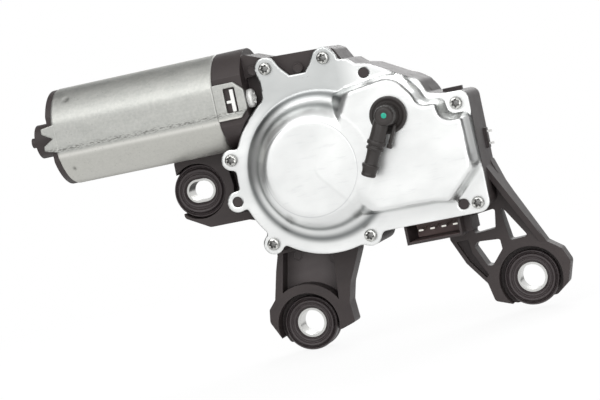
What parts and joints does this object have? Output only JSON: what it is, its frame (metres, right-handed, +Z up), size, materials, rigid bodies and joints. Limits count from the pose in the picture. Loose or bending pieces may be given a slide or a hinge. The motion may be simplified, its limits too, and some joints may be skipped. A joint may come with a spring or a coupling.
{
  "type": "wiper motor",
  "caption": "Rear window wiper motor: geared motor with worm wheel, crank and sector linkage that swings a hollow output shaft, with a washer elbow and rubber mounted feet.",
  "frame": {"origin": "on the output shaft's axis, in the plane of the mounting sleeves' back ends, where the unit bolts on", "axes": "+X along the motor towards the output side, +Y along the output shaft out of the back, +Z up as in the picture"},
  "size_m": [0.2223, 0.1104, 0.1358],
  "materials": {
    "case_plastic": "glass filled plastic, dark grey",
    "cover_zinc": "pressed sheet, bright zinc plated, satin",
    "can_steel": "drawn steel, zinc plated, slightly yellow",
    "screw_steel": "zinc plated screw",
    "bright_steel": "ground steel",
    "core_steel": "laminated electrical steel",
    "copper": "enamelled copper wire",
    "brass_part": "brass, tin plated in places",
    "bronze_bush": "sintered bronze, oiled",
    "ferrite": "ferrite magnet",
    "carbon": "carbon brush",
    "gear_plastic": "natural acetal",
    "board": "glass fibre board",
    "black_part": "moulded black plastic",
    "white_part": "moulded white plastic",
    "soft_rubber": "moulded rubber"
  },
  "bodies": {
    "housing": {"gear_case": "case_plastic", "cover_plate": "cover_zinc", "cover_gasket": "soft_rubber", "cover_screws": "screw_steel", "motor_can": "can_steel", "can_end_cap": "case_plastic", "rear_bearing": "bronze_bush", "middle_bearing": "bronze_bush", "front_bearing": "bronze_bush", "thrust_pad": "black_part", "magnets": "ferrite", "brush_card": "black_part", "brush_holders": "brass_part", "brushes": "carbon", "brush_springs": "bright_steel", "suppression_chokes": "copper", "latch_block": "white_part", "can_screw": "screw_steel", "wheel_axle": "bright_steel", "inner_shaft_bush": "bronze_bush", "outer_shaft_bush": "bronze_bush", "shaft_seal": "soft_rubber", "connector_shell": "case_plastic", "connector_blades": "brass_part", "circuit_board": "board", "relay": "black_part", "capacitor": "black_part", "side_terminals": "screw_steel", "park_contacts": "brass_part", "washer_tube": "brass_part", "washer_elbow": "black_part", "elbow_grommet": "soft_rubber", "bush_rubber_left": "soft_rubber", "bush_rubber_bottom": "soft_rubber", "bush_rubber_right": "soft_rubber", "bush_sleeve_left": "bright_steel", "bush_sleeve_bottom": "bright_steel", "bush_sleeve_right": "bright_steel"},
    "armature": {"armature_shaft": "bright_steel", "lamination_stack": "core_steel", "windings": "copper", "commutator": "brass_part"},
    "wheel": {"worm_wheel": "gear_plastic", "crank_bush": "bronze_bush", "contact_ring": "brass_part"},
    "output": {"output_shaft": "bright_steel", "pinion": "bright_steel", "thrust_washer": "bright_steel", "rocker_circlip": "bright_steel", "neck_washer": "bright_steel", "neck_circlip": "bright_steel"},
    "rocker": {"rocker_plate": "bright_steel", "rocker_pin": "bright_steel", "link_spacer": "bright_steel"},
    "link": {"sector_link": "bright_steel", "crank_pin": "bright_steel"}
  },
  "joints": [
    {"name": "armature_spin", "type": "hinge", "parent": "housing", "child": "armature", "pos_m": [-0.1, -0.02, 0.0192], "axis": [1, 0, 0], "continuous": true},
    {"name": "wheel_spin", "type": "hinge", "parent": "housing", "child": "wheel", "pos_m": [-0.036, -0.02, -0.0157], "axis": [0, -1, 0], "continuous": true},
    {"name": "output_swing", "type": "hinge", "parent": "housing", "child": "output", "pos_m": [0, 0, 0], "axis": [0, -1, 0], "range_deg": [0, 109.39]},
    {"name": "rocker_swing", "type": "hinge", "parent": "housing", "child": "rocker", "pos_m": [0, -0.0335, 0], "axis": [0, -1, 0], "range_deg": [0, 42.67]},
    {"name": "link_swing", "type": "hinge", "parent": "rocker", "child": "link", "pos_m": [-0.0103, -0.0292, -0.01944], "axis": [0, -1, 0], "range_deg": [-42.03, 0]}
  ],
  "couplings": [
    {"joint": "wheel_spin", "follows": "armature_spin", "ratio": 0.016393},
    {"joint": "rocker_swing", "follows": "output_swing", "ratio": 0.38998},
    {"joint": "link_swing", "follows": "output_swing", "ratio": -0.38409}
  ]
}
